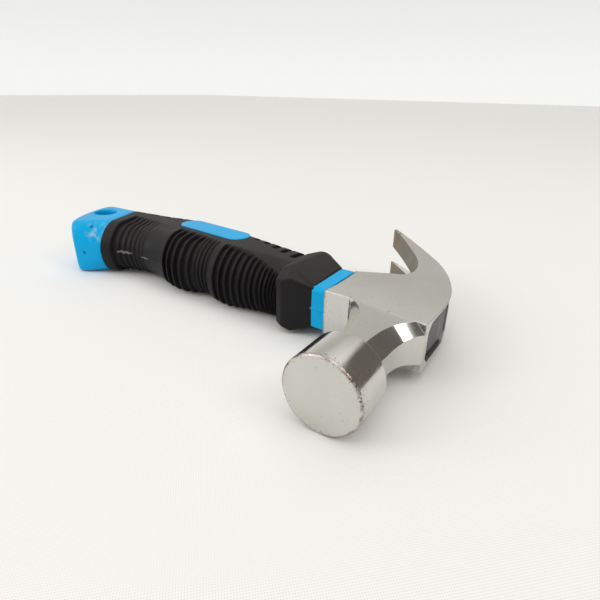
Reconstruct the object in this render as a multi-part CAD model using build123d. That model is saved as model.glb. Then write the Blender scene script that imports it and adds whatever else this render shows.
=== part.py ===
"""Stubby claw hammer, lying on its side, in millimetres.

Working axes: x runs along the handle, with the eye end of the head positive; y runs from the striking
face, at 0, to the claws; z is across the hammer, with 0 in its middle. The last lines move everything
to the part's own frame: the origin is under the middle of the hammer, on the surface it lies on.
"""
from build123d import *
import math
import os

# Poll and neck
face_radius = 12.5
face_rise = 1.2
face_round = 0.8
poll_length = 13.5
poll_taper_length = 2.4
poll_taper_radius = 9.5
neck_half = 8.5
neck_corner = 5.0
neck_straight_end = 20.0
neck_socket_corner = 0.6
neck_eye_corner = 3.6
# The neck's sweep into the eye block. Each step: how far a flat stands out and how far short of the block it
# is, on the socket side and then on the eye side; then the extra half width and the two corner cuts
NECK_SWEEP = [
    (0.6, 14.0, 0.5, 10.5, 0.0, 4.7, 4.7),
    (2.2, 7.0, 2.0, 5.0, 0.1, 4.0, 4.1),
    (4.3, 2.0, 4.4, 1.4, 0.3, 2.2, 3.6),
]

# Eye block and socket
eye_top = 14.5
eye_front = 37.0
socket_end = -24.5
socket_front = 41.5
socket_rear = 66.0
cheek_half_front = 9.0
cheek_half_rear = 8.0
socket_flare_start = -14.7
throat_slope = (13.5, 6.0)
eye_wall_front = 3.0
eye_wall_side = 1.6
socket_wall_front = 3.4
eye_length_top = 22.6
eye_length_bottom = 19.4
eye_corner = 2.6
socket_wall_side = 2.4

# Claws
claw_back_start = 55.0
claw_back_radius = 50.0
claw_back_turn = 48.0
claw_blade_length = 36.0
claw_tip_thickness = 1.1
claw_tip_half = 12.4
claw_notch_length = 26.0
claw_notch_tip_half = 4.1
claw_notch_root_half = 0.8
waist_length = 12.0
waist_extra_half = 0.7
claw_spread_length = 24.0
claw_spread_half = 10.4
# Thickness of the claws: distance from where their back turns straight, then the steel there
CLAW_THICKNESS = [(-12.3, 15.0), (-9.5, 11.8), (-6.0, 9.7), (0.0, 7.2), (8.0, 5.2), (18.0, 3.4)]

# Core, resin and the jacket's collar
core_depth = 13.0
core_thickness = 8.0
core_corner = 3.9
core_centre_y = 54.0
core_top_below_resin = 3.0
core_end_cover = 18.0
resin_recess = 1.0
tenon_length = 7.0
collar_length = 5.0
collar_inset = 0.3
collar_corner = 1.0

# Grip: the guard next to the collar, then the ribbed part, then the plain rim
handle_half = 12.5
collar_half = 8.6
guard_crest = 10.5
guard_length = 15.0
guard_front = 37.0
guard_rear = 70.0
guard_corner = 2.2
guard_collar_corner = 1.1
guard_end_front = 38.0
guard_end_rear = 70.4
guard_end_half = 12.2
guard_end_corner = 4.4
rubber_wall = 2.6
grip_length = 102.5
grip_round_front = 12.5
grip_round_rear = 8.5
guard_overlap = 1.0
rib_depth = 1.1
rib_web = 0.45
back_slot_width = 2.0
back_slot_depth = 1.2
back_slot_reach = 9.0
back_slot_shortening = 0.7
back_slot_turn = -8.0

# Butt of the jacket. Its corners and hole are given by their distance beyond the grip's rim, then y
butt_step = 0.6
butt_front_place = (14.0, 29.3)
butt_rear_place = (30.0, 60.0)
butt_palm_place = (25.5, 65.5)
butt_bulge = 4.3
butt_overlap = 6.0
butt_round_front = 6.0
butt_round_rear = 7.5
hang_hole_place = (19.3, 53.0)
hang_hole_radius = 5.2
hang_hole_rim = 0.8

# Windows and panels on the flat sides
pad_from_guard = 54.0
pad_y = 64.0
pad_length = 42.0
pad_width = 11.5
pad_turn = -4.0
panel_front_at_guard = 44.5
panel_front_at_rim = 61.0

# Ribs: distance of each group from the guard, how far it leans back, the pitch of every groove in it
RIB_GROUPS = [
    (0.1, 0.0, [1.6, 1.7, 1.7, 2.0, 2.1, 2.4, 2.6, 2.7, 2.9, 3.1, 3.4, 3.6, 3.8]),
    (44.9, 8.0, [3.4, 4.0, 4.2, 4.1, 3.8]),
    (78.5, 16.0, [2.0, 2.3, 2.5, 2.6, 2.9, 3.3, 3.4]),
]
# Palm side cuts: distance of the first from the guard, pitch, number
BACK_SLOTS = [(4.5, 6.0, 5), (82.0, 7.6, 4)]

# Stations along the ribbed part: share of its length, y of the finger side, y of the palm side, how much
# further back the palm side lies, and half of its thickness. They give the two finger swells and the bow.
GRIP_STATIONS = [
    (0.00, 39.2, 69.0, 0.5, 11.6),
    (0.11, 41.0, 70.3, 2.0, 11.7),
    (0.25, 39.0, 72.4, 4.0, 12.4),
    (0.35, 40.1, 74.3, 5.0, 12.3),
    (0.42, 40.2, 75.8, 6.0, 12.3),
    (0.51, 38.4, 77.4, 8.0, 12.5),
    (0.61, 38.9, 77.8, 9.0, 12.4),
    (0.71, 40.5, 76.6, 9.5, 12.1),
    (0.80, 40.1, 74.8, 10.0, 12.0),
    (0.90, 37.6, 73.2, 11.0, 12.1),
    (1.00, 34.1, 71.2, 11.5, 12.3),
]

guard_start = socket_end - collar_length
grip_start = guard_start - guard_length
rim_x = grip_start - grip_length
claw_arc_length = claw_back_radius * math.radians(claw_back_turn)
claw_length = claw_arc_length + claw_blade_length
claw_reach = (
    claw_back_start
    + claw_back_radius * math.sin(math.radians(claw_back_turn))
    + claw_blade_length * math.cos(math.radians(claw_back_turn))
)
# Longer than the hammer is in any direction, for cuts that go right through
through = 2 * (eye_top - rim_x + butt_rear_place[0])
# How far cuts and blanks run past the faces they must clear
clearance = 1.0


def octagon(front, rear, half, corner, rear_corner=None):
    """A face across the hammer through two points in the xy plane, with its four corners cut off."""
    c = corner if rear_corner is None else rear_corner
    front = Vector(*front)
    along = Vector(*rear) - front
    plane = Plane(origin=front, x_dir=along, z_dir=along.cross(Vector(0, 0, 1)))
    w = along.length
    outline = Polyline(
        (0, half - corner), (corner, half), (w - c, half), (w, half - c),
        (w, c - half), (w - c, -half), (corner, -half), (0, corner - half),
        close=True,
    )
    return plane * make_face(outline)


def stadium(front, rear, half, round_front, round_rear, inset=0.0):
    """A face across the hammer with flat sides and elliptical ends, taken in by inset all round."""
    front = Vector(*front)
    along = Vector(*rear) - front
    plane = Plane(origin=front, x_dir=along, z_dir=along.cross(Vector(0, 0, 1)))
    w = along.length
    top = half - inset
    near = round_front
    far = w - round_rear
    outline = [
        Line((near, top), (far, top)),
        EllipticalCenterArc((far, 0), round_rear - inset, top, start_angle=-90, arc_size=180),
        Line((far, -top), (near, -top)),
        EllipticalCenterArc((near, 0), round_front - inset, top, start_angle=90, arc_size=180),
    ]
    return plane * make_face(outline)


# ---------------------------------------------------------------- head

def claw_back(distance):
    """Point on the claws' outer curve and the direction into the steel, at a distance along the curve."""
    turn = math.radians(claw_back_turn)
    arc = min(distance / claw_back_radius, turn)
    straight = max(distance - claw_back_radius * turn, 0)
    inward = Vector(-math.cos(arc), -math.sin(arc))
    heading = Vector(-math.sin(arc), math.cos(arc))
    centre = Vector(eye_top - claw_back_radius, claw_back_start)
    return centre - inward * claw_back_radius + heading * straight, inward


def claw_inside(distance, thickness):
    point, inward = claw_back(distance)
    return point + inward * thickness


def head_side_face():
    """The head seen from the side, without poll and neck."""
    tip = claw_back(claw_length)[0]
    tip_inside = claw_inside(claw_length, claw_tip_thickness)
    arc_start = claw_back(0)[0]
    arc_middle = claw_back(claw_arc_length / 2)[0]
    arc_end = claw_back(claw_arc_length)[0]
    eye_front_corner = Vector(eye_top, eye_front)
    flare_point = Vector(socket_flare_start, socket_front)
    socket_front_corner = Vector(socket_end, socket_front)
    socket_rear_corner = Vector(socket_end, socket_rear)
    throat_entry = socket_rear_corner + Vector(*throat_slope)
    inside = Spline(
        throat_entry,
        *[claw_inside(claw_arc_length + distance, steel) for distance, steel in CLAW_THICKNESS],
        tip_inside,
    )
    outline = [
        Line(eye_front_corner, flare_point),
        Line(flare_point, socket_front_corner),
        Line(socket_front_corner, socket_rear_corner),
        Line(socket_rear_corner, throat_entry),
        inside,
        Line(tip_inside, tip),
        Line(tip, arc_end),
        ThreePointArc(arc_end, arc_middle, arc_start),
        Line(arc_start, eye_front_corner),
    ]
    return make_face(outline)


def head_plan_face():
    """The head seen from its eye end, on the yz plane: cheeks, waist and spreading claws."""
    edge = [
        (eye_front, cheek_half_front),
        (socket_rear, cheek_half_rear),
        (socket_rear + waist_length, cheek_half_rear + waist_extra_half),
        (claw_reach - claw_spread_length, claw_spread_half),
        (claw_reach, claw_tip_half),
    ]
    upper = Spline(*[Vector(0, y, z) for y, z in edge])
    lower = Spline(*[Vector(0, y, -z) for y, z in edge])
    return make_face([upper, Line(upper @ 1, lower @ 1), lower, Line(lower @ 0, upper @ 0)])


def along_x(face):
    """A face on the yz plane pushed through the whole head."""
    return Pos(-through / 2, 0, 0) * extrude(face, through, dir=(1, 0, 0))


def eye_cavity():
    """The tapered hole through the head, widest at the eye end, with its corners cut off."""
    top_front = eye_front + eye_wall_front
    bottom_front = socket_front + socket_wall_front
    top_half = cheek_half_front - eye_wall_side
    bottom_half = cheek_half_rear - socket_wall_side
    top = octagon((0, top_front), (0, top_front + eye_length_top), top_half, eye_corner)
    bottom = octagon((0, bottom_front), (0, bottom_front + eye_length_bottom), bottom_half, eye_corner)
    return loft([Pos(eye_top, 0, 0) * top, Pos(socket_end, 0, 0) * bottom], ruled=True)


def neck():
    """Eight-sided neck. It sweeps out to a sharp corner at the socket and to cut corners at the eye."""
    sections = [
        octagon((-neck_half, y), (neck_half, y), neck_half, neck_corner)
        for y in (poll_length, neck_straight_end)
    ]
    for socket_out, socket_short, eye_out, eye_short, extra_half, socket_cut, eye_cut in NECK_SWEEP:
        socket_side = (-neck_half - socket_out, socket_front - socket_short)
        eye_side = (neck_half + eye_out, eye_front - eye_short)
        sections.append(octagon(socket_side, eye_side, neck_half + extra_half, socket_cut, eye_cut))
    sections.append(octagon(
        (socket_flare_start, socket_front), (eye_top, eye_front),
        cheek_half_front, neck_socket_corner, neck_eye_corner,
    ))
    return loft(sections)


def poll():
    """The round striking end, with its worn edge, and the short taper down to the neck."""
    towards_claws = Plane(origin=(0, -face_rise, 0), z_dir=(0, 1, 0))
    drum = towards_claws * extrude(Circle(face_radius), poll_length + face_rise)
    face_edge = drum.faces().sort_by(Axis.Y)[0].edges()
    taper_start = Plane(origin=(0, poll_length, 0), z_dir=(0, 1, 0))
    taper = loft([
        taper_start * Circle(face_radius),
        taper_start.offset(poll_taper_length) * Circle(poll_taper_radius),
    ])
    return fillet(face_edge, face_round) + taper


def claw_notch():
    """The nail slot: a tapered gap that opens at the claw tips."""
    root = claw_reach - claw_notch_length
    beyond = claw_reach + clearance
    return along_x(make_face(Polyline(
        (0, root, claw_notch_root_half), (0, beyond, claw_notch_tip_half),
        (0, beyond, -claw_notch_tip_half), (0, root, -claw_notch_root_half),
        close=True,
    )))


def make_head(cavity):
    side = extrude(head_side_face(), claw_tip_half + clearance, both=True)
    block = side & along_x(head_plan_face())
    return poll() + neck() + block - cavity - claw_notch()


# ---------------------------------------------------------------- handle

def grip_section(station, inset=0.0):
    share, front_y, rear_y, lean, half = station
    x = grip_start - share * grip_length
    return stadium((x, front_y), (x - lean, rear_y), half, grip_round_front, grip_round_rear, inset)


def grip_form(inset):
    """The ribbed length of the handle as one smooth body."""
    return loft([grip_section(station, inset) for station in GRIP_STATIONS])


def guard_form(inset):
    """The flared guard: small against the collar, widest at its crest."""
    crest_x = guard_start - guard_crest
    end_x = grip_start - guard_overlap
    sections = [
        octagon((guard_start, socket_front + inset), (guard_start, socket_rear - inset),
                collar_half - inset, guard_collar_corner),
        octagon((crest_x, guard_front + inset), (crest_x, guard_rear - inset),
                handle_half - inset, guard_corner),
        octagon((end_x, guard_end_front + inset), (end_x, guard_end_rear - inset),
                guard_end_half - inset, guard_end_corner),
    ]
    return loft(sections, ruled=True)


def rib_grooves():
    """Cuts around the finger side. Their pitch closes up from the swells towards the guard and the butt."""
    slabs = []
    for start, lean, pitches in RIB_GROUPS:
        x = grip_start - start
        for pitch in pitches:
            slab = Box(pitch * (1 - rib_web), through, through)
            slabs.append(Pos(x - pitch / 2, guard_front, 0) * Rot(0, 0, lean) * slab)
            x -= pitch
    front = guard_front - handle_half
    panel_edge = Polyline(
        (grip_start, front), (grip_start, panel_front_at_guard),
        (rim_x, panel_front_at_rim), (rim_x, front),
        close=True,
    )
    finger_side = extrude(make_face(panel_edge), 2 * handle_half, both=True)
    return (Part() + slabs) & finger_side


def back_slots():
    """Short cuts that wrap the palm side and run a little way on to both flat sides."""
    slots = []
    for start, pitch, count in BACK_SLOTS:
        for k in range(count):
            x = grip_start - start - k * pitch
            reach = back_slot_reach - back_slot_shortening * k
            slot = Rot(0, 0, back_slot_turn) * Box(back_slot_width, 2 * reach, through)
            slots.append(Pos(x, panel_rear_line(x) + back_slot_reach, 0) * slot)
    return Part() + slots


def panel_rear_line(x):
    """Where the palm side turns over on to the flat sides, read along the stations."""
    share = min(max((grip_start - x) / grip_length, 0.0), 1.0)
    for near, far in zip(GRIP_STATIONS, GRIP_STATIONS[1:]):
        if near[0] <= share <= far[0]:
            part = (share - near[0]) / (far[0] - near[0])
            return near[2] + part * (far[2] - near[2]) - grip_round_rear
    return GRIP_STATIONS[-1][2] - grip_round_rear


def beyond_rim(place):
    """A place on the butt, from its distance beyond the rim of the grip and its y."""
    return Vector(rim_x - place[0], place[1])


def butt_side_face():
    """The butt seen from the side: its bulging end, a rounded palm corner and a sharp finger corner."""
    front_y, rear_y, lean = GRIP_STATIONS[-1][1:4]
    front = beyond_rim(butt_front_place)
    rear = beyond_rim(butt_rear_place)
    palm = beyond_rim(butt_palm_place)
    rim_front = Vector(rim_x, front_y)
    rim_rear = Vector(rim_x - lean, rear_y)
    outward = (rear - front).cross(Vector(0, 0, -1)).normalized()
    end = ThreePointArc(front, (front + rear) / 2 + outward * butt_bulge, rear)
    corner = TangentArc(rear, palm, tangent=end % 1)
    return make_face([
        Line(rim_front, front), end, corner, Line(palm, rim_rear), Line(rim_rear, rim_front),
    ])


def butt():
    """The flared end of the jacket, with a hole across it to hang the hammer by."""
    front_y, rear_y, lean, half = GRIP_STATIONS[-1][1:]
    start_front = Vector(rim_x, front_y)
    start_rear = Vector(rim_x - lean, rear_y)
    end_front = beyond_rim(butt_front_place)
    end_rear = beyond_rim(butt_rear_place)
    outward = (end_rear - end_front).cross(Vector(0, 0, -1)).normalized() * butt_overlap
    middle_front = (start_front + end_front) / 2
    middle_rear = (start_rear + end_rear) / 2
    body = loft([
        stadium(start_front, start_rear, half, grip_round_front, grip_round_rear, inset=butt_step),
        stadium(middle_front, middle_rear, handle_half, butt_round_front, butt_round_rear),
        stadium(end_front + outward, end_rear + outward, handle_half, butt_round_front, butt_round_rear),
    ], ruled=True)
    hole = Cylinder(hang_hole_radius, through)
    rim = Pos(0, 0, handle_half - hang_hole_rim) * Cone(
        hang_hole_radius, hang_hole_radius + 2 * hang_hole_rim, 2 * hang_hole_rim,
        align=(Align.CENTER, Align.CENTER, Align.MIN),
    )
    cut = Pos(beyond_rim(hang_hole_place)) * (hole + rim + mirror(rim, Plane.XY))
    return (body & extrude(butt_side_face(), 2 * handle_half, both=True)) - cut


def pad_prism():
    """The oval windows through which the jacket shows on both flat sides of the grip."""
    middle = Pos(grip_start - pad_from_guard, pad_y, 0)
    window = middle * Rot(0, 0, pad_turn) * SlotOverall(pad_length, pad_width)
    return extrude(window, 2 * handle_half, both=True)


def make_core():
    top = eye_top - resin_recess - core_top_below_resin
    section = Plane(origin=(top, core_centre_y, 0), x_dir=(0, 1, 0), z_dir=(-1, 0, 0)) * RectangleRounded(
        core_depth, core_thickness, core_corner
    )
    return extrude(section, top - rim_x - core_end_cover)


def make_handle(cavity, core, end):
    """Jacket and grip. The jacket's tenon fills the bottom of the eye and its pads fill the windows."""
    front = socket_front + collar_inset
    rear = socket_rear - collar_inset
    collar_face = octagon((socket_end, front), (socket_end, rear), collar_half - collar_inset, collar_corner)
    collar = extrude(collar_face, collar_length, dir=(-1, 0, 0))
    tenon = cavity & Pos(socket_end + tenon_length / 2, 0, 0) * Box(tenon_length, through, through)
    outside = grip_form(0.0)
    inside = grip_form(rubber_wall) + guard_form(rubber_wall)
    pads = pad_prism()
    rubber = outside + guard_form(0.0)
    cuts = rib_grooves() - grip_form(rib_depth) + (back_slots() - grip_form(back_slot_depth))
    jacket = collar + tenon + inside + end + (outside & pads) - core
    grip = rubber - (cuts & outside) - inside - pads - end
    return jacket, grip


def make_resin(cavity, core):
    bottom = socket_end + tenon_length
    fill = Pos(bottom, 0, 0) * Box(
        eye_top - resin_recess - bottom, through, through, align=(Align.MIN, Align.CENTER, Align.CENTER)
    )
    return (cavity & fill) - core


cavity = eye_cavity()
core = make_core()
jacket, grip = make_handle(cavity, core, butt())
pieces = {
    "head": make_head(cavity),
    "core_rod": core,
    "eye_resin": make_resin(cavity, core),
    "handle_jacket": jacket,
    "rubber_grip": grip,
}
extent = Compound(children=[Part() + piece for piece in pieces.values()]).bounding_box()
to_frame = Pos(-extent.center().X, -extent.center().Y, -extent.min.Z)
os.makedirs("parts", exist_ok=True)
for name, piece in pieces.items():
    export_step(to_frame * piece, f"parts/{name}.step")
print("moved by", to_frame.position, "size", extent.size)
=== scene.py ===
import bpy
import math
from mathutils import Matrix, Vector


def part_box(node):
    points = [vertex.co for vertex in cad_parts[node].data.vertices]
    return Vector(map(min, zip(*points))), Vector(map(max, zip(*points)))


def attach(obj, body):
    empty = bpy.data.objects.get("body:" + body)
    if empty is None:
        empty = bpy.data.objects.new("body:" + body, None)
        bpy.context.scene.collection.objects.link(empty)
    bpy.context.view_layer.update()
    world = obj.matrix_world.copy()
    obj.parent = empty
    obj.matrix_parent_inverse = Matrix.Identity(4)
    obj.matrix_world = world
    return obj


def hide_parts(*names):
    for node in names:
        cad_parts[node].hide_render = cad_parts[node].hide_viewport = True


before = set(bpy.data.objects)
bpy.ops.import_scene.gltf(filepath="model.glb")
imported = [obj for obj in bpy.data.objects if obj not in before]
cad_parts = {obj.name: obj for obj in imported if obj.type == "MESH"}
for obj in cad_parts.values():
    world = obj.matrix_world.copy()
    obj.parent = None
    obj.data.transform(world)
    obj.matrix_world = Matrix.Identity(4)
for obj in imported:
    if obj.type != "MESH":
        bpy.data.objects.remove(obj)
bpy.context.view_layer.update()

# ---------------------------------------------------------------- Forged head
# One drop forging of carbon steel: a round poll, an eight-sided neck, the eye block and two curved claws.
# It is ground and polished all over under a thin clear lacquer, and is starting to rust where it is struck.
mm = 0.001
eye_end_x = 14.5
face_y = -1.2
head_low, head_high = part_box("head")
origin = Vector((head_high.x - eye_end_x * mm, head_low.y - face_y * mm, (head_low.z + head_high.z) / 2))


def at(x, y, z):
    """A place on the hammer: x along the handle, y from the struck face, z up from its middle, in mm."""
    return origin + Vector((x, y, z)) * mm


def take(piece):
    """Makes a piece the only one picked."""
    bpy.ops.object.select_all(action="DESELECT")
    piece.select_set(True)
    bpy.context.view_layer.objects.active = piece


def clean_up(piece, soft_angle):
    """Merges doubles, turns every face outwards and rounds the shading of all edges under an angle."""
    take(piece)
    bpy.ops.object.mode_set(mode="EDIT")
    bpy.ops.mesh.select_all(action="SELECT")
    bpy.ops.mesh.remove_doubles(threshold=0.002 * mm)
    bpy.ops.mesh.normals_make_consistent(inside=False)
    bpy.ops.object.mode_set(mode="OBJECT")
    bpy.ops.object.shade_smooth_by_angle(angle=math.radians(soft_angle))


def fit(piece, name, slot, material, *stands_for):
    """Names a finished piece, gives it its finish and fixes it to the hammer."""
    piece.name = name
    piece.data.name = name
    piece.data.materials.clear()
    piece.data.materials.append(material)
    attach(piece, "root")
    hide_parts(*stands_for)


def finish(name, metallic, specular):
    """A new material with its main shader and its object coordinates."""
    material = bpy.data.materials.new(name)
    material.use_nodes = True
    shader = material.node_tree.nodes["Principled BSDF"]
    shader.inputs["Metallic"].default_value = metallic
    shader.inputs["Specular IOR Level"].default_value = specular
    return material, shader, add(material, "TexCoord", {}).outputs["Object"]


def add(material, kind, inputs, **settings):
    """A shader node: inputs are numbers, colours or the sockets that feed them."""
    tree = material.node_tree
    node = tree.nodes.new("ShaderNode" + kind)
    for setting, value in settings.items():
        setattr(node, setting, value)
    for socket, value in inputs.items():
        if isinstance(value, bpy.types.NodeSocket):
            tree.links.new(value, node.inputs[socket])
        else:
            node.inputs[socket].default_value = value
    return node


def link(material, output, shader_input):
    material.node_tree.links.new(output, shader_input)


def noise(material, where, size, detail=3.0, rough=0.5, stretch=(1, 1, 1)):
    """Cloudy noise with patches of a size in mm."""
    stretched = add(material, "Mapping", {"Vector": where, "Scale": stretch}).outputs["Vector"]
    return add(material, "TexNoise", {
        "Vector": stretched, "Scale": 1 / (size * mm), "Detail": detail, "Roughness": rough,
    }).outputs["Fac"]


def ramp(material, value, start, end, low=0.0, high=1.0):
    """Low below start, high above end, straight between."""
    return add(material, "MapRange", {
        "Value": value, "From Min": start, "From Max": end, "To Min": low, "To Max": high,
    }).outputs["Result"]


def reckon(material, operation, first, second=0.0):
    return add(material, "Math", {0: first, 1: second}, operation=operation).outputs["Value"]


def blend(material, amount, first, second):
    """One colour fading into another."""
    mix = add(material, "Mix", {"Factor": amount}, data_type="RGBA")
    for socket, value in ((6, first), (7, second)):
        if isinstance(value, bpy.types.NodeSocket):
            link(material, value, mix.inputs[socket])
        else:
            mix.inputs[socket].default_value = (*value, 1)
    return mix.outputs[2]


def close_to(material, where, place, reach):
    """One at a place, fading to nothing at its reach in mm."""
    away = add(material, "VectorMath", {0: where, 1: place}, operation="DISTANCE").outputs["Value"]
    return ramp(material, away, reach * mm, 0.4 * reach * mm)


def along(material, where, axis, start, end, low=0.0, high=1.0):
    """A fade along one axis of the object, between two places in metres."""
    split = add(material, "SeparateXYZ", {"Vector": where})
    return ramp(material, split.outputs[axis], start, end, low, high)


bright_steel = (0.68, 0.67, 0.635)
dull_steel = (0.60, 0.585, 0.545)
bare_forging = (0.20, 0.18, 0.14)
rust_brown = (0.10, 0.050, 0.022)
stained_steel = (0.24, 0.145, 0.085)
steel, shader, here = finish("polished forged steel", 1.0, 0.5)
radial = add(steel, "Mapping", {"Vector": here, "Location": (-origin.x, 0, -origin.z), "Scale": (1, 0, 1)})
radius = add(steel, "VectorMath", {0: radial.outputs["Vector"]}, operation="LENGTH").outputs["Value"]
face_edge = ramp(steel, radius, 10.6 * mm, 12.4 * mm)
near_face = along(steel, here, "Y", at(0, 3.0, 0).y, at(0, -0.6, 0).y)
on_face = along(steel, here, "Y", at(0, 0.1, 0).y, at(0, -0.7, 0).y)
worn = reckon(steel, "MULTIPLY", face_edge, near_face)
specks = noise(steel, here, 0.7, detail=5.0, rough=0.72)
scattered = noise(steel, here, 9.0, detail=2.0)
prone = reckon(steel, "ADD", reckon(steel, "MULTIPLY", worn, 0.09),
               reckon(steel, "MULTIPLY", scattered, 0.14))
rust = ramp(steel, reckon(steel, "ADD", specks, prone), 0.71, 0.75)
rim_line = reckon(steel, "MULTIPLY", ramp(steel, radius, 11.7 * mm, 12.15 * mm),
                  along(steel, here, "Y", at(0, 0.1, 0).y, at(0, -0.6, 0).y))
joint = along(steel, here, "X", at(-23.6, 0, 0).x, at(-24.5, 0, 0).x)
stain = reckon(steel, "MULTIPLY", reckon(steel, "MAXIMUM", rim_line, joint),
               ramp(steel, noise(steel, here, 2.4, detail=5.0), 0.36, 0.60, 0.05, 0.75))
facing = add(steel, "NewGeometry", {}).outputs["Normal"]
inner_side = (-0.67, -0.74, 0)
facing_inwards = add(steel, "VectorMath", {0: facing, 1: inner_side}, operation="DOT_PRODUCT")
claw_inside = reckon(steel, "MULTIPLY", ramp(steel, facing_inwards.outputs["Value"], 0.35, 0.6),
                     along(steel, here, "Y", at(0, 68, 0).y, at(0, 72, 0).y))
clouds = noise(steel, here, 14.0, detail=4.0)
steel_colour = blend(steel, clouds, bright_steel, dull_steel)
steel_colour = blend(steel, claw_inside, steel_colour, bare_forging)
steel_colour = blend(steel, stain, steel_colour, stained_steel)
link(steel, blend(steel, rust, steel_colour, rust_brown), shader.inputs["Base Color"])
polish = ramp(steel, noise(steel, here, 5.0, detail=4.0), 0.35, 0.7, 0.10, 0.17)
matt = reckon(steel, "ADD", reckon(steel, "MULTIPLY", rust, 0.45), reckon(steel, "MULTIPLY", on_face, 0.2))
matt = reckon(steel, "ADD", matt, reckon(steel, "MULTIPLY", claw_inside, 0.3))
link(steel, reckon(steel, "ADD", polish, matt), shader.inputs["Roughness"])
grinding = noise(steel, here, 1.0, detail=2.0, stretch=(0.3, 5.0, 0.3))
ripple = noise(steel, here, 4.0, detail=1.0)
pitted = reckon(steel, "SUBTRACT", reckon(steel, "MULTIPLY", ripple, 0.4),
                reckon(steel, "MULTIPLY", rust, 0.5))
relief = reckon(steel, "ADD", reckon(steel, "MULTIPLY", grinding, 0.10), pitted)
soft_edges = add(steel, "Bevel", {"Radius": 0.35 * mm}, samples=4).outputs["Normal"]
bumped = add(steel, "Bump", {"Height": relief, "Distance": 0.03 * mm, "Strength": 0.5, "Normal": soft_edges})
link(steel, bumped.outputs["Normal"], shader.inputs["Normal"])

take(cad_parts["head"])
bpy.ops.object.duplicate()
forged_head = bpy.context.object
bpy.ops.mesh.customdata_custom_splitnormals_clear()
clean_up(forged_head, 24)
fit(forged_head, "forged_head", "polished_steel", steel, "head")

# ---------------------------------------------------------------- Rod and resin in the eye
# A pultruded glass fibre rod runs from the eye down the handle. Black epoxy is poured round it into the
# tapered eye, and sets with a glossy, slightly wavy top a little below the rim.
straw = (0.62, 0.55, 0.30)
pale_straw = (0.80, 0.76, 0.58)
glass_fibre, shader, here = finish("glass fibre rod", 0.0, 0.5)
strands = noise(glass_fibre, here, 0.8, detail=3.0, stretch=(0.05, 1, 1))
link(glass_fibre, blend(glass_fibre, strands, straw, pale_straw), shader.inputs["Base Color"])
link(glass_fibre, ramp(glass_fibre, strands, 0.2, 0.8, 0.3, 0.55), shader.inputs["Roughness"])
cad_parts["core_rod"].data.materials.clear()
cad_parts["core_rod"].data.materials.append(glass_fibre)

epoxy_black = (0.012, 0.013, 0.016)
epoxy_haze = (0.03, 0.033, 0.042)
epoxy, shader, here = finish("cast black epoxy", 0.0, 0.1)
haze = noise(epoxy, here, 6.0, detail=3.0)
link(epoxy, blend(epoxy, haze, epoxy_black, epoxy_haze), shader.inputs["Base Color"])
link(epoxy, ramp(epoxy, haze, 0.3, 0.7, 0.08, 0.2), shader.inputs["Roughness"])
swell = noise(epoxy, here, 8.0, detail=1.0)
waves = add(epoxy, "Bump", {"Height": swell, "Distance": 0.4 * mm, "Strength": 0.6})
link(epoxy, waves.outputs["Normal"], shader.inputs["Normal"])
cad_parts["eye_resin"].data.materials.clear()
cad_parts["eye_resin"].data.materials.append(epoxy)

# ---------------------------------------------------------------- Blue jacket: collar
# The stiff jacket round the rod is injection moulded in blue polypropylene. Its collar is a short eight-sided
# step against the socket, with a fine ridge of flash where the two halves of the mould met.
clear_blue = (0.0, 0.42, 0.80)
deep_blue = (0.0, 0.34, 0.69)
blue_plastic, shader, here = finish("blue polypropylene", 0.0, 0.12)
flow = noise(blue_plastic, here, 18.0, detail=3.0)
streaks = noise(blue_plastic, here, 3.0, detail=6.0, rough=0.7, stretch=(1, 1, 0.4))
scuffs = ramp(blue_plastic, streaks, 0.66, 0.74)
scuffed_blue = (0.25, 0.42, 0.55)
blue = blend(blue_plastic, flow, clear_blue, deep_blue)
# The butt has a mottled, painted pale highlight beside the rim, and two small dimples left by the moulding.
pale_highlight_blue = (0.36, 0.55, 0.64)
dimple_shade_blue = (0.0, 0.12, 0.28)
# Painted highlight: mottled pale blue beside the rim, where light falls on the flare.
patches = ramp(blue_plastic, noise(blue_plastic, here, 3.5, detail=5.0, rough=0.65), 0.47, 0.62, 0.0, 0.8)
highlight_beside_rim = close_to(blue_plastic, here, at(-151.5, 37, 8.5), 6.5)
blue = blend(blue_plastic, reckon(blue_plastic, "MULTIPLY", highlight_beside_rim, patches), blue, pale_highlight_blue)
# The dimples are not shaped in the mesh: each is a dark spot of painted shade.
for dimple in (at(-155.7, 31, -1.6), at(-154.5, 36.5, 10.5)):
    blue = blend(blue_plastic, close_to(blue_plastic, here, dimple, 1.1), blue, dimple_shade_blue)
blue = blend(blue_plastic, reckon(blue_plastic, "MULTIPLY", scuffs, 0.25), blue, scuffed_blue)
link(blue_plastic, blue, shader.inputs["Base Color"])
link(blue_plastic, ramp(blue_plastic, scuffs, 0.0, 1.0, 0.30, 0.5), shader.inputs["Roughness"])
pebble = noise(blue_plastic, here, 0.7, detail=2.0)
sinking = reckon(blue_plastic, "MULTIPLY", noise(blue_plastic, here, 7.0), 2.0)
skin = reckon(blue_plastic, "ADD", pebble, sinking)
satin = add(blue_plastic, "Bump", {"Height": skin, "Distance": 0.05 * mm, "Strength": 0.5})
link(blue_plastic, satin.outputs["Normal"], shader.inputs["Normal"])


def stack(rings):
    """A closed solid built from rings of corner points: the first is a primitive, the rest are extruded."""
    bpy.ops.object.select_all(action="DESELECT")
    count = len(rings[0])
    bpy.ops.mesh.primitive_circle_add(vertices=count, radius=mm, fill_type="NGON", location=at(*rings[0][0]))
    piece = bpy.context.object
    bpy.ops.object.transform_apply(location=True)
    for k, ring in enumerate(rings):
        if k:
            bpy.ops.object.mode_set(mode="EDIT")
            bpy.ops.mesh.extrude_region_move()
            bpy.ops.object.mode_set(mode="OBJECT")
        chosen = [v for v in piece.data.vertices if v.select]
        for corner, point in zip(chosen, ring):
            corner.co = at(*point)
    return piece


def mirrored(upper):
    """A ring of corners from those on its upper half, front to rear."""
    return upper + [(x, y, -z) for x, y, z in reversed(upper)]


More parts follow.
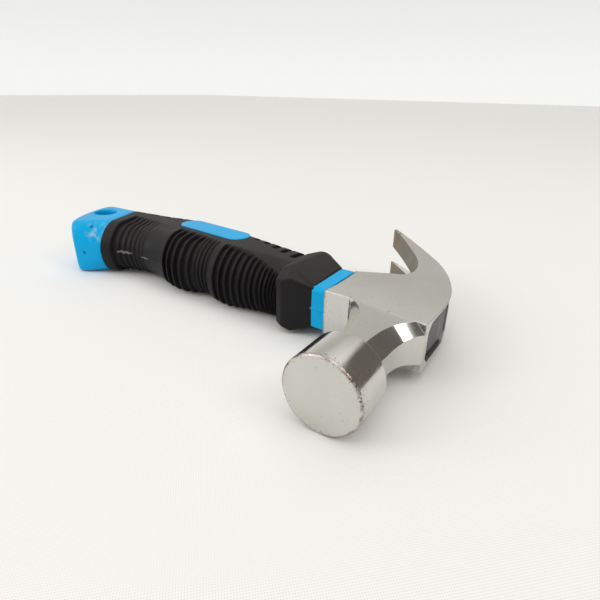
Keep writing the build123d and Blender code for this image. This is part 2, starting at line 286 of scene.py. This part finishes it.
def round_edges(piece, width, segments, sharp_angle):
    """Rounds every edge sharper than an angle."""
    take(piece)
    rounding = piece.modifiers.new("rounding", "BEVEL")
    rounding.width = width * mm
    rounding.segments = segments
    rounding.limit_method = "ANGLE"
    rounding.angle_limit = math.radians(sharp_angle)
    bpy.ops.object.modifier_apply(modifier=rounding.name)


collar_upper = [(41.2, 0.0), (41.5, 0.35), (41.55, 7.3), (43.0, 8.5), (64.4, 8.3), (65.6, 7.2)]
collar_rings = [mirrored([(x, y, z) for y, z in collar_upper])[1:] for x in (-24.4, -30.5)]
collar = stack(collar_rings)
clean_up(collar, 30)
round_edges(collar, 0.25, 3, 25)
clean_up(collar, 30)
fit(collar, "collar", "blue_plastic", blue_plastic, "handle_jacket")

# ---------------------------------------------------------------- Black rubber guard
# Thermoplastic rubber is moulded over the jacket. Next to the collar it swells into a faceted guard that
# stops the hand from sliding on to the head: broad flat facets with softly rounded edges.
rubber_black = (0.0035, 0.0026, 0.0038)
rubber_grey = (0.0085, 0.0070, 0.0080)
# Brownish grey for dust together with a painted sheen on upward faces.
dust_and_sheen = (0.040, 0.033, 0.028)
torn_edge = (0.20, 0.175, 0.165)
rubber, shader, here = finish("black thermoplastic rubber", 0.0, 0.22)
mottle = noise(rubber, here, 11.0, detail=5.0, rough=0.6)
# Upward faces turn brownish grey: partly dust, partly a painted sheen of the light from above.
facing = add(rubber, "NewGeometry", {}).outputs["Normal"]
facing_up = add(rubber, "SeparateXYZ", {"Vector": facing}).outputs["Z"]
dusty_and_sheen = reckon(rubber, "MULTIPLY", ramp(rubber, facing_up, 0.45, 1.0, 0.0, 0.55),
               ramp(rubber, mottle, 0.3, 0.7, 0.4, 1.0))
rubber_colour = blend(rubber, dusty_and_sheen, blend(rubber, mottle, rubber_black, rubber_grey), dust_and_sheen)
# Two slivers of torn flash lie on the parting line of the finger side: their x, z, length and height.
flash_slivers = [(-135.6, 0.2, 5.2, 0.8), (-123.2, -0.5, 3.2, 0.4)]
finger_side_only = along(rubber, here, "Y", at(0, 44, 0).y, at(0, 43, 0).y)
for sliver_x, sliver_z, length, height in flash_slivers:
    place = at(sliver_x, 0, sliver_z)
    spread = (1 / (length * mm), 0, 1 / (height * mm))
    centre = (-place.x * spread[0], 0, -place.z * spread[2])
    centred = add(rubber, "Mapping", {"Vector": here, "Scale": spread, "Location": centre}).outputs["Vector"]
    away = add(rubber, "VectorMath", {0: centred}, operation="LENGTH").outputs["Value"]
    flash = reckon(rubber, "MULTIPLY", ramp(rubber, away, 0.95, 0.6), finger_side_only)
    rubber_colour = blend(rubber, flash, rubber_colour, torn_edge)
grain = noise(rubber, here, 0.45, detail=3.0, rough=0.6)
link(rubber, rubber_colour, shader.inputs["Base Color"])
link(rubber, ramp(rubber, mottle, 0.3, 0.7, 0.46, 0.60), shader.inputs["Roughness"])
matt_skin = add(rubber, "Bump", {"Height": grain, "Distance": 0.06 * mm, "Strength": 0.55})
link(rubber, matt_skin.outputs["Normal"], shader.inputs["Normal"])

guard_rings = [
    [(-28.7, 41.9, 7.2), (-29.2, 43.3, 8.7), (-29.9, 64.4, 8.7), (-30.1, 65.6, 7.6)],
    [(-37.5, 38.7, 11.0), (-43.0, 46.7, 12.3), (-40.4, 68.4, 12.3), (-38.6, 70.0, 10.8)],
    [(-41.4, 37.8, 9.6), (-44.0, 45.8, 12.15), (-42.2, 68.2, 12.2), (-41.2, 70.2, 10.0)],
    [(-44.7, 39.6, 8.9), (-45.4, 45.0, 11.7), (-46.0, 62.0, 11.8), (-46.0, 68.2, 7.0)],
]
guard = stack([mirrored(upper) for upper in guard_rings])
clean_up(guard, 30)
round_edges(guard, 0.7, 4, 8)
clean_up(guard, 35)
fit(guard, "guard", "black_rubber", rubber, "rubber_grip")

# ---------------------------------------------------------------- Black rubber grip
# Behind the guard the same rubber forms the grip: two finger swells crossed by three groups of ribs, flat
# sides, short cuts over the palm side and a plain rim against the butt.
grip_start = -43.6
rim_x = -147.0
# Along the handle: x, y of the finger side, y of the palm side, how far the palm side lies back, half of the
# thickness, and how square the underside is
grip_stations = [
    (-43.0, 40.2, 68.6, 0.4, 11.5, 2.2), (-44.5, 39.9, 69.0, 0.5, 11.6, 2.2),
    (-53.7, 40.8, 70.1, 1.7, 11.9, 2.4), (-62.9, 39.8, 71.3, 2.9, 12.2, 2.7),
    (-72.0, 38.8, 72.7, 4.2, 12.4, 3.1), (-79.0, 39.4, 74.1, 5.0, 12.3, 2.7),
    (-85.5, 40.4, 75.4, 5.8, 12.2, 1.9), (-91.0, 39.4, 76.5, 6.9, 12.25, 2.4),
    (-96.0, 38.2, 77.3, 7.8, 12.28, 2.8), (-103.0, 38.4, 77.7, 8.6, 12.28, 2.8),
    (-109.5, 39.4, 77.4, 9.0, 12.2, 2.4), (-116.5, 40.3, 76.6, 9.5, 12.1, 2.0),
    (-126.5, 40.2, 74.8, 10.0, 12.0, 1.9), (-138.0, 37.6, 73.0, 11.0, 12.1, 2.1),
    (-147.0, 34.1, 71.2, 11.5, 12.3, 2.4),
]
grip_rounds = (12.5, 9.5, 8.6)
upper_square = 1.75
palm_square = 2.0
# Where the ridges of the ribs stand, group by group
guard_ribs = [-44.6, -46.2, -47.9, -49.6, -51.6, -53.8, -56.1, -58.7, -61.4, -64.3, -67.4, -70.8,
              -74.4, -78.1]
swell_ribs = [-89.4, -92.6, -96.6, -101.0, -105.1, -108.9]
butt_ribs = [-123.0, -125.1, -127.4, -129.9, -132.6, -135.6, -138.8, -142.2]
faint_ribs = [-81.0, -83.2, -85.6, -87.6, -89.4]
# Where the flat side begins, as x and y, and the short cuts: their near end and how far they lean
panel_front = [(-43.0, 44.3), (-52.5, 46.7), (-65.5, 50.1), (-78.1, 52.0), (-91.9, 54.0), (-106.8, 56.0),
               (-115.5, 57.2), (-128.0, 58.3), (-139.0, 58.6), (-151.1, 59.6), (-165.0, 61.0)]
palm_cuts = [(-48.7, 55.6), (-55.1, 57.6), (-60.8, 59.7), (-66.8, 61.9), (-73.0, 63.3),
             (-126.5, 67.2), (-134.0, 66.6), (-141.5, 66.0), (-149.8, 65.6)]
cut_half_width = 1.3
cut_depth = 1.6


def smooth(share):
    share = min(max(share, 0.0), 1.0)
    return share * share * (3 - 2 * share)


def between(stations, x):
    """The values at x on a smooth curve through stations that run towards the butt."""
    k = 0
    while k < len(stations) - 2 and x < stations[k + 1][0]:
        k += 1
    near, far = stations[k], stations[k + 1]
    before, after = stations[max(k - 1, 0)], stations[min(k + 2, len(stations) - 1)]
    step = far[0] - near[0]
    t = (x - near[0]) / step
    values = []
    for a, b, c, d in zip(before[1:], near[1:], far[1:], after[1:]):
        slope_near = (c - a) / (far[0] - before[0]) * step
        slope_far = (d - b) / (after[0] - near[0]) * step
        values.append(b * (1 + 2 * t) * (1 - t) ** 2 + c * t * t * (3 - 2 * t)
                      + slope_near * t * (1 - t) ** 2 - slope_far * t * t * (1 - t))
    return values


# Points round a section: angles over the finger side, steps on a flat side, angles over the palm side
finger_angles = [-90 + 5 * k for k in range(18)] + [-1.3, 0, 1.3] + [5 * k for k in range(1, 19)]
side_steps = 21
palm_angles = [6 * k for k in range(-14, 15)]
round_count = len(finger_angles) + len(palm_angles) + 2 * side_steps


def outline(width, half, rounds, squares, inset=0.0):
    """The handle's section: places across the handle and up, each with its inward direction.

    Rounds say how far its upper finger corner, its lower finger corner and its palm side reach; squares
    say how square they are.
    """
    points = []

    def bend(angle, square, radius, start, towards):
        power = 2 / square
        c, s = math.cos(math.radians(angle)), math.sin(math.radians(angle))
        q = start - towards * radius * abs(c) ** power
        z = half * math.copysign(abs(s) ** power, s)
        across = towards * abs(c) ** (2 - power) / radius
        up = -math.copysign(abs(s) ** (2 - power), s) / half
        size = math.hypot(across, up)
        points.append((q, z, across / size, up / size))

    for angle in finger_angles:
        corner = 0 if angle > 0 else 1
        bend(angle, squares[corner], rounds[corner], rounds[corner], 1)
    span = width - rounds[0] - rounds[2]
    for k in range(side_steps):
        points.append((rounds[0] + span * (k + 1) / (side_steps + 1), half, 0.0, -1.0))
    for angle in reversed(palm_angles):
        bend(angle, squares[2], rounds[2], width - rounds[2], -1)
    span = width - rounds[1] - rounds[2]
    for k in reversed(range(side_steps)):
        points.append((rounds[1] + span * (k + 1) / (side_steps + 1), -half, 0.0, 1.0))
    return [(q + inward_q * inset, z + inward_z * inset, inward_q, inward_z)
            for q, z, inward_q, inward_z in points]


def groove(near, far, x):
    """How deep x lies between two ridges: 0 on a ridge, 1 along the bottom."""
    return smooth((min(near - x, x - far) / (near - far) - 0.05) / 0.24)


def rib_cut(x):
    """Depth of the grooves at x: deeper where their pitch is wider, and fading in the group by the butt."""
    fading = smooth((-119 - x) / 20)
    depth = 0.0
    for ridges, least, slope in ((guard_ribs, 0.35, 0.40), (swell_ribs, 0.3, 0.40), (faint_ribs, 0.1, 0.30),
                                 (butt_ribs, 0.1, 0.08 + 0.2 * fading)):
        for near, far in zip(ridges, ridges[1:]):
            if far <= x < near:
                depth = max(depth, (least + slope * (near - far)) * groove(near, far, x))
    return depth


def palm_cut(x, y):
    depth = 0.0
    for near_x, near_y in palm_cuts:
        line_x = near_x + 0.2 * (y - near_y)
        beside = smooth((cut_half_width + 0.15 - abs(x - line_x)) / 0.45)
        depth = max(depth, cut_depth * beside * smooth((y - near_y) / 1.4))
    return depth


def sleeve(rows, columns, place):
    """A closed skin wrapped from a flat grid of points, with its seam merged and its ends filled."""
    bpy.ops.object.select_all(action="DESELECT")
    bpy.ops.mesh.primitive_grid_add(x_subdivisions=columns, y_subdivisions=rows - 1, size=1)
    piece = bpy.context.object
    for v in piece.data.vertices:
        row, column = divmod(v.index, columns + 1)
        v.co = place(row, column % columns)
    bpy.ops.object.mode_set(mode="EDIT")
    bpy.ops.mesh.select_all(action="SELECT")
    bpy.ops.mesh.remove_doubles(threshold=0.002 * mm)
    bpy.ops.mesh.select_all(action="DESELECT")
    bpy.ops.mesh.select_non_manifold()
    bpy.ops.mesh.fill_holes(sides=0)
    bpy.ops.object.mode_set(mode="OBJECT")
    return piece


grip_rows = [(grip_start, 0.0)]
while grip_rows[-1][0] > rim_x + 0.5:
    grip_rows.append((grip_rows[-1][0] - 0.24, 0.0))
grip_rows += [(rim_x + 0.15, 0.04), (rim_x, 0.25), (rim_x, 0.9)]
grip_lines = []
for x, inset in grip_rows:
    front_y, rear_y, lean, half, under = between(grip_stations, x)
    back = Vector((-lean, rear_y - front_y))
    width = back.length
    section = outline(width, half, grip_rounds, (upper_square, under, palm_square), inset)
    back.normalize()
    rib = rib_cut(x)
    dip = 0.75 * smooth((-142.3 - x) / -0.7) * smooth((-106 - x) / 14)
    line = []
    for q, z, inward_q, inward_z in section:
        px, py = x + back.x * q, front_y + back.y * q
        panel_y = between(panel_front, px)[0]
        finger_side = smooth((panel_y - py) / 1.0) if q < width - grip_rounds[2] else 0.0
        depth = rib * finger_side + dip * smooth((panel_y - py) / 6) + palm_cut(px, py)
        if abs(z) < 0.02 and q < 1:
            depth -= 0.10 + 0.25 * smooth((-130 - x) / 2) * smooth((x + 140) / 2)
        q += inward_q * depth
        z += inward_z * depth
        line.append(at(x + back.x * q, front_y + back.y * q, z))
    grip_lines.append(line)
grip = sleeve(len(grip_lines), round_count, lambda row, column: grip_lines[row][column])
clean_up(grip, 42)
fit(grip, "ribbed_grip", "black_rubber", rubber, "rubber_grip")

# ---------------------------------------------------------------- Blue jacket: pads
# On each flat side an oval pad of the jacket comes up through a window in the rubber, almost flush with it,
# with a slightly crowned face and a rounded edge.
pad_length = 42.0
pad_width = 11.6
pad_middle = (-98.8, 64.2)
pad_turn = -4.0
pad_crown = [(0.0, -2.0), (0.0, 0.02), (0.08, 0.11), (0.28, 0.17), (2.0, 0.18), (4.0, 0.19)]


def pad_outline(inset):
    """An oval with straight sides, taken in all round."""
    points = []
    reach, end = (pad_length - pad_width) / 2, pad_width / 2 - inset
    for k in range(48):
        angle = math.radians(-90 + 180 * (k % 24) / 23 + (180 if k >= 24 else 0))
        points.append(((reach if k < 24 else -reach) + end * math.cos(angle), end * math.sin(angle)))
    return points


def side_height(x, y):
    """How high the flat side of the grip stands at a place, up from its middle."""
    front_x = x
    for _ in range(4):
        front_y, rear_y, lean, half, under = between(grip_stations, front_x)
        front_x = x + lean * (y - front_y) / (rear_y - front_y)
    return half


for side, name in ((1, "upper_pad"), (-1, "lower_pad")):
    rings = []
    for inset, rise in pad_crown:
        ring = []
        for along_pad, across_pad in pad_outline(inset):
            turn = math.radians(pad_turn)
            x = pad_middle[0] + along_pad * math.cos(turn) - across_pad * math.sin(turn)
            y = pad_middle[1] + along_pad * math.sin(turn) + across_pad * math.cos(turn)
            ring.append((x, y, side * (side_height(x, y) + rise)))
        rings.append(ring)
    pad = stack(rings)
    clean_up(pad, 50)
    fit(pad, name, "blue_plastic", blue_plastic, "handle_jacket")

# ---------------------------------------------------------------- Blue jacket: butt
# The jacket ends in a flared butt beyond the rim of the rubber, with a bulging end, a square finger corner
# and a round hole across it to hang the hammer by. Its hole has softened rims.
rim_front = (-147.0, 34.1)
rim_rear = (-158.5, 71.2)
# The end seen from the side: share of the way from the finger corner to the palm side, x and y
end_profile = [(0.0, -161.2, 29.0), (-0.13, -165.8, 34.0), (-0.27, -169.9, 39.6), (-0.42, -173.1, 45.8),
               (-0.58, -175.3, 52.3), (-0.73, -176.8, 58.2), (-0.85, -176.2, 62.6), (-0.93, -173.9, 65.0),
               (-1.0, -171.0, 66.2)]
rim_half = 12.3
butt_swelling = 0.2
edge_radius = 1.5
butt_depth = 15.0
hang_hole = (-166.3, 53.0)

butt_rows = [(-0.25, 0.75, 1.0), (-0.02, 0.7, 1.0), (0.0, 0.45, 1.0), (0.03, 0.25, 1.0)]
butt_rows += [(0.09 + 0.81 * k / 9, 0.0, 1.0) for k in range(10)]
for k in range(1, 7):
    turn = math.radians(15 * k)
    end_share = 1 - edge_radius / butt_depth * (1 - math.sin(turn))
    butt_rows.append((end_share, edge_radius * (1 - math.cos(turn)), 1.0))
butt_rows += [(1.0, edge_radius, flat) for flat in (0.75, 0.5, 0.25, 0.0)]


def butt_line(share, inset, flat):
    """One ring of points from the rim, at share 0, to the end, at share 1."""
    flare = smooth(share * 1.1)
    width = math.dist(rim_front, rim_rear)
    half = rim_half + butt_swelling * flare
    squares = (upper_square + 1.1 * flare, 2.4 + 3.2 * flare, palm_square + 0.1 * flare)
    rounds = (grip_rounds[0] - 6.5 * flare, grip_rounds[1] - 4.5 * flare, grip_rounds[2] - flare)
    section = outline(width, half, rounds, squares, inset)
    line = []
    for q, z, inward_q, inward_z in section:
        f = q / width
        start = Vector(rim_front).lerp(Vector(rim_rear), f)
        end = Vector(between(end_profile, -f))
        place = start.lerp(end, share)
        line.append(at(place.x, place.y, z * flat))
    return line


butt_lines = [butt_line(*row) for row in butt_rows]
butt = sleeve(len(butt_lines), round_count, lambda row, column: butt_lines[row][column])
clean_up(butt, 40)

hole_profile = [(-16.0, 7.4), (-12.6, 6.2), (-12.2, 5.72), (-11.6, 5.38), (-10.8, 5.2),
                (10.8, 5.2), (11.6, 5.38), (12.2, 5.72), (12.6, 6.2), (16.0, 7.4)]
hole_turns = [math.radians(360 * k / 64) for k in range(64)]
hole_x, hole_y = hang_hole
hole_rings = [[(hole_x + reach * math.cos(turn), hole_y + reach * math.sin(turn), z) for turn in hole_turns]
              for z, reach in hole_profile]
drill = stack(hole_rings)
clean_up(drill, 40)
take(butt)
drilling = butt.modifiers.new("hang hole", "BOOLEAN")
drilling.object = drill
drilling.solver = "EXACT"
bpy.ops.object.modifier_apply(modifier=drilling.name)
bpy.data.objects.remove(drill)
clean_up(butt, 35)
fit(butt, "butt", "blue_plastic", blue_plastic, "handle_jacket")

# ---------------------------------------------------------------- Table, light and camera
# A pale woven table cloth under a soft white tent, brightest overhead. The tent has two openings on to the
# dark room, behind and in front of the head, which the polished steel mirrors as its dark bands.
table_colour = (0.87, 0.865, 0.845)
table_light = (0.90, 0.895, 0.88)
table_gaps = (0.60, 0.595, 0.575)
thread_pitch = 0.8
bpy.ops.object.select_all(action="DESELECT")
bpy.ops.mesh.primitive_plane_add(size=8.0, location=(0, 0, 0))
table = bpy.context.object
table.name = "table"
pale, shader, here = finish("pale cloth", 0.0, 0.2)
cloth = noise(pale, here, 1.4, detail=2.0)
split = add(pale, "SeparateXYZ", {"Vector": here})
turns_per_metre = 2 * math.pi / (thread_pitch * mm)
threads = [reckon(pale, "SINE", reckon(pale, "MULTIPLY", split.outputs[axis], turns_per_metre))
           for axis in "XY"]
weave = ramp(pale, reckon(pale, "MULTIPLY", *threads), 0.3, 0.9)
woven = blend(pale, cloth, table_colour, table_light)
woven = blend(pale, reckon(pale, "MULTIPLY", weave, 0.5), woven, table_gaps)
link(pale, woven, shader.inputs["Base Color"])
link(pale, ramp(pale, cloth, 0.0, 1.0, 0.75, 0.9), shader.inputs["Roughness"])
table.data.materials.append(pale)

tent = bpy.data.worlds.new("tent")
bpy.context.scene.world = tent
tent.use_nodes = True
sky = tent.node_tree.nodes["Background"]
towards = add(tent, "TexCoord", {}).outputs["Generated"]
height = add(tent, "SeparateXYZ", {"Vector": towards}).outputs["Z"]
wall_low = (0.92, 0.92, 0.895)
wall_high = (0.64, 0.63, 0.60)
roof = (1.35, 1.345, 1.32)
room = (0.17, 0.155, 0.14)
wall = blend(tent, ramp(tent, height, 0.02, 0.42), wall_low, wall_high)
shell = blend(tent, ramp(tent, height, 0.55, 0.95), wall, roof)
dark_openings = 0.0
for opening, edge, core in (((0.62, 0.72, 0.30), 0.78, 0.86), ((0.80, -0.42, 0.43), 0.92, 0.96)):
    aimed = add(tent, "VectorMath", {0: towards, 1: opening}, operation="DOT_PRODUCT").outputs["Value"]
    dark_openings = reckon(tent, "MAXIMUM", dark_openings, ramp(tent, aimed, edge, core))
link(tent, blend(tent, dark_openings, shell, room), sky.inputs["Color"])

for name, place, size, power in (
    ("overhead softbox", (0.70, 0.06, 0.66), 0.30, 1.0),
    ("left softbox", (-0.6, -0.65, 0.55), 0.5, 2.4),
):
    lamp = bpy.data.lights.new(name, "AREA")
    lamp.size = size
    lamp.energy = power
    softbox = bpy.data.objects.new(name, lamp)
    softbox.location = place
    softbox.rotation_euler = (-Vector(place)).to_track_quat("-Z", "Y").to_euler()
    bpy.context.scene.collection.objects.link(softbox)

lens = bpy.data.cameras.new("camera")
lens.lens = 26.6
lens.sensor_width = 36.0
lens.shift_y = -0.0017
lens.clip_start = 0.01
camera = bpy.data.objects.new("camera", lens)
look = Matrix.Rotation(math.radians(33.4), 4, "Z") @ Matrix.Rotation(math.radians(90 - 25.41), 4, "X")
stand = Matrix.Translation((origin.x + 47.24 * mm, origin.y - 82.86 * mm, 85.69 * mm))
camera.matrix_world = stand @ look @ Matrix.Rotation(math.radians(0.97), 4, "Z")
bpy.context.scene.collection.objects.link(camera)
bpy.context.scene.camera = camera
bpy.context.scene.view_settings.view_transform = "Standard"
